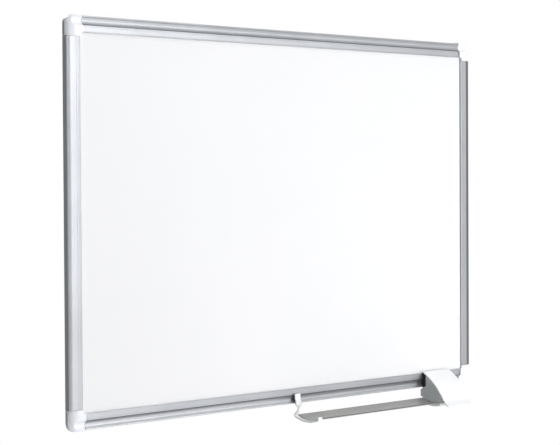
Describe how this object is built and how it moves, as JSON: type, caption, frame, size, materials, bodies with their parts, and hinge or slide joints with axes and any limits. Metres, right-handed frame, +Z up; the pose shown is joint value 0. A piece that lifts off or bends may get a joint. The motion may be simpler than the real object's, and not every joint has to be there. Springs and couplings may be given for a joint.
{
  "type": "whiteboard",
  "caption": "Wall-hung magnetic whiteboard in a profiled aluminium frame with plastic corner caps, a sliding pen gutter below it and an eraser parked at the gutter's end.",
  "frame": {"origin": "centre of the frame's outline, on the plane of its back, where it lies on the wall", "axes": "+X to the right along the board's width, +Y into the wall, +Z up; the writing side faces -Y"},
  "size_m": [0.9, 0.0688, 0.6294],
  "materials": {
    "white_lacquer": "gloss white lacquer on steel",
    "core": "raw fibre core",
    "backing": "dull foil",
    "rail_aluminium": "silver anodised, satin",
    "gutter_aluminium": "grey anodised, satin",
    "white_plastic": "gloss white moulding",
    "zinc_steel": "zinc plated",
    "black_rubber": "matt black",
    "black_felt": "pressed felt"
  },
  "bodies": {
    "frame": {"writing_sheet": "white_lacquer", "core_board": "core", "backing_foil": "backing", "top_rail": "rail_aluminium", "bottom_rail": "rail_aluminium", "left_rail": "rail_aluminium", "right_rail": "rail_aluminium", "bottom_left_corner_cap": "white_plastic", "bottom_left_corner_key": "zinc_steel", "bottom_left_rail_screw": "zinc_steel", "bottom_left_side_screw": "zinc_steel", "top_left_corner_cap": "white_plastic", "top_left_corner_key": "zinc_steel", "top_left_rail_screw": "zinc_steel", "top_left_side_screw": "zinc_steel", "bottom_right_corner_cap": "white_plastic", "bottom_right_corner_key": "zinc_steel", "bottom_right_rail_screw": "zinc_steel", "bottom_right_side_screw": "zinc_steel", "top_right_corner_cap": "white_plastic", "top_right_corner_key": "zinc_steel", "top_right_rail_screw": "zinc_steel", "top_right_side_screw": "zinc_steel"},
    "tray": {"pen_gutter": "gutter_aluminium", "left_bracket": "white_plastic", "left_shoe": "black_rubber", "right_holder": "white_plastic", "right_shoe": "black_rubber"},
    "eraser": {"eraser_shell": "white_plastic", "eraser_felt": "black_felt"}
  },
  "joints": [
    {"name": "tray_slide", "type": "slide", "parent": "frame", "child": "tray", "axis": [1, 0, 0], "range_m": [-0.42, 0.025]},
    {"name": "eraser_lift", "type": "slide", "parent": "tray", "child": "eraser", "axis": [0, -0.866, 0.5], "range_m": [0, 0.1]}
  ]
}
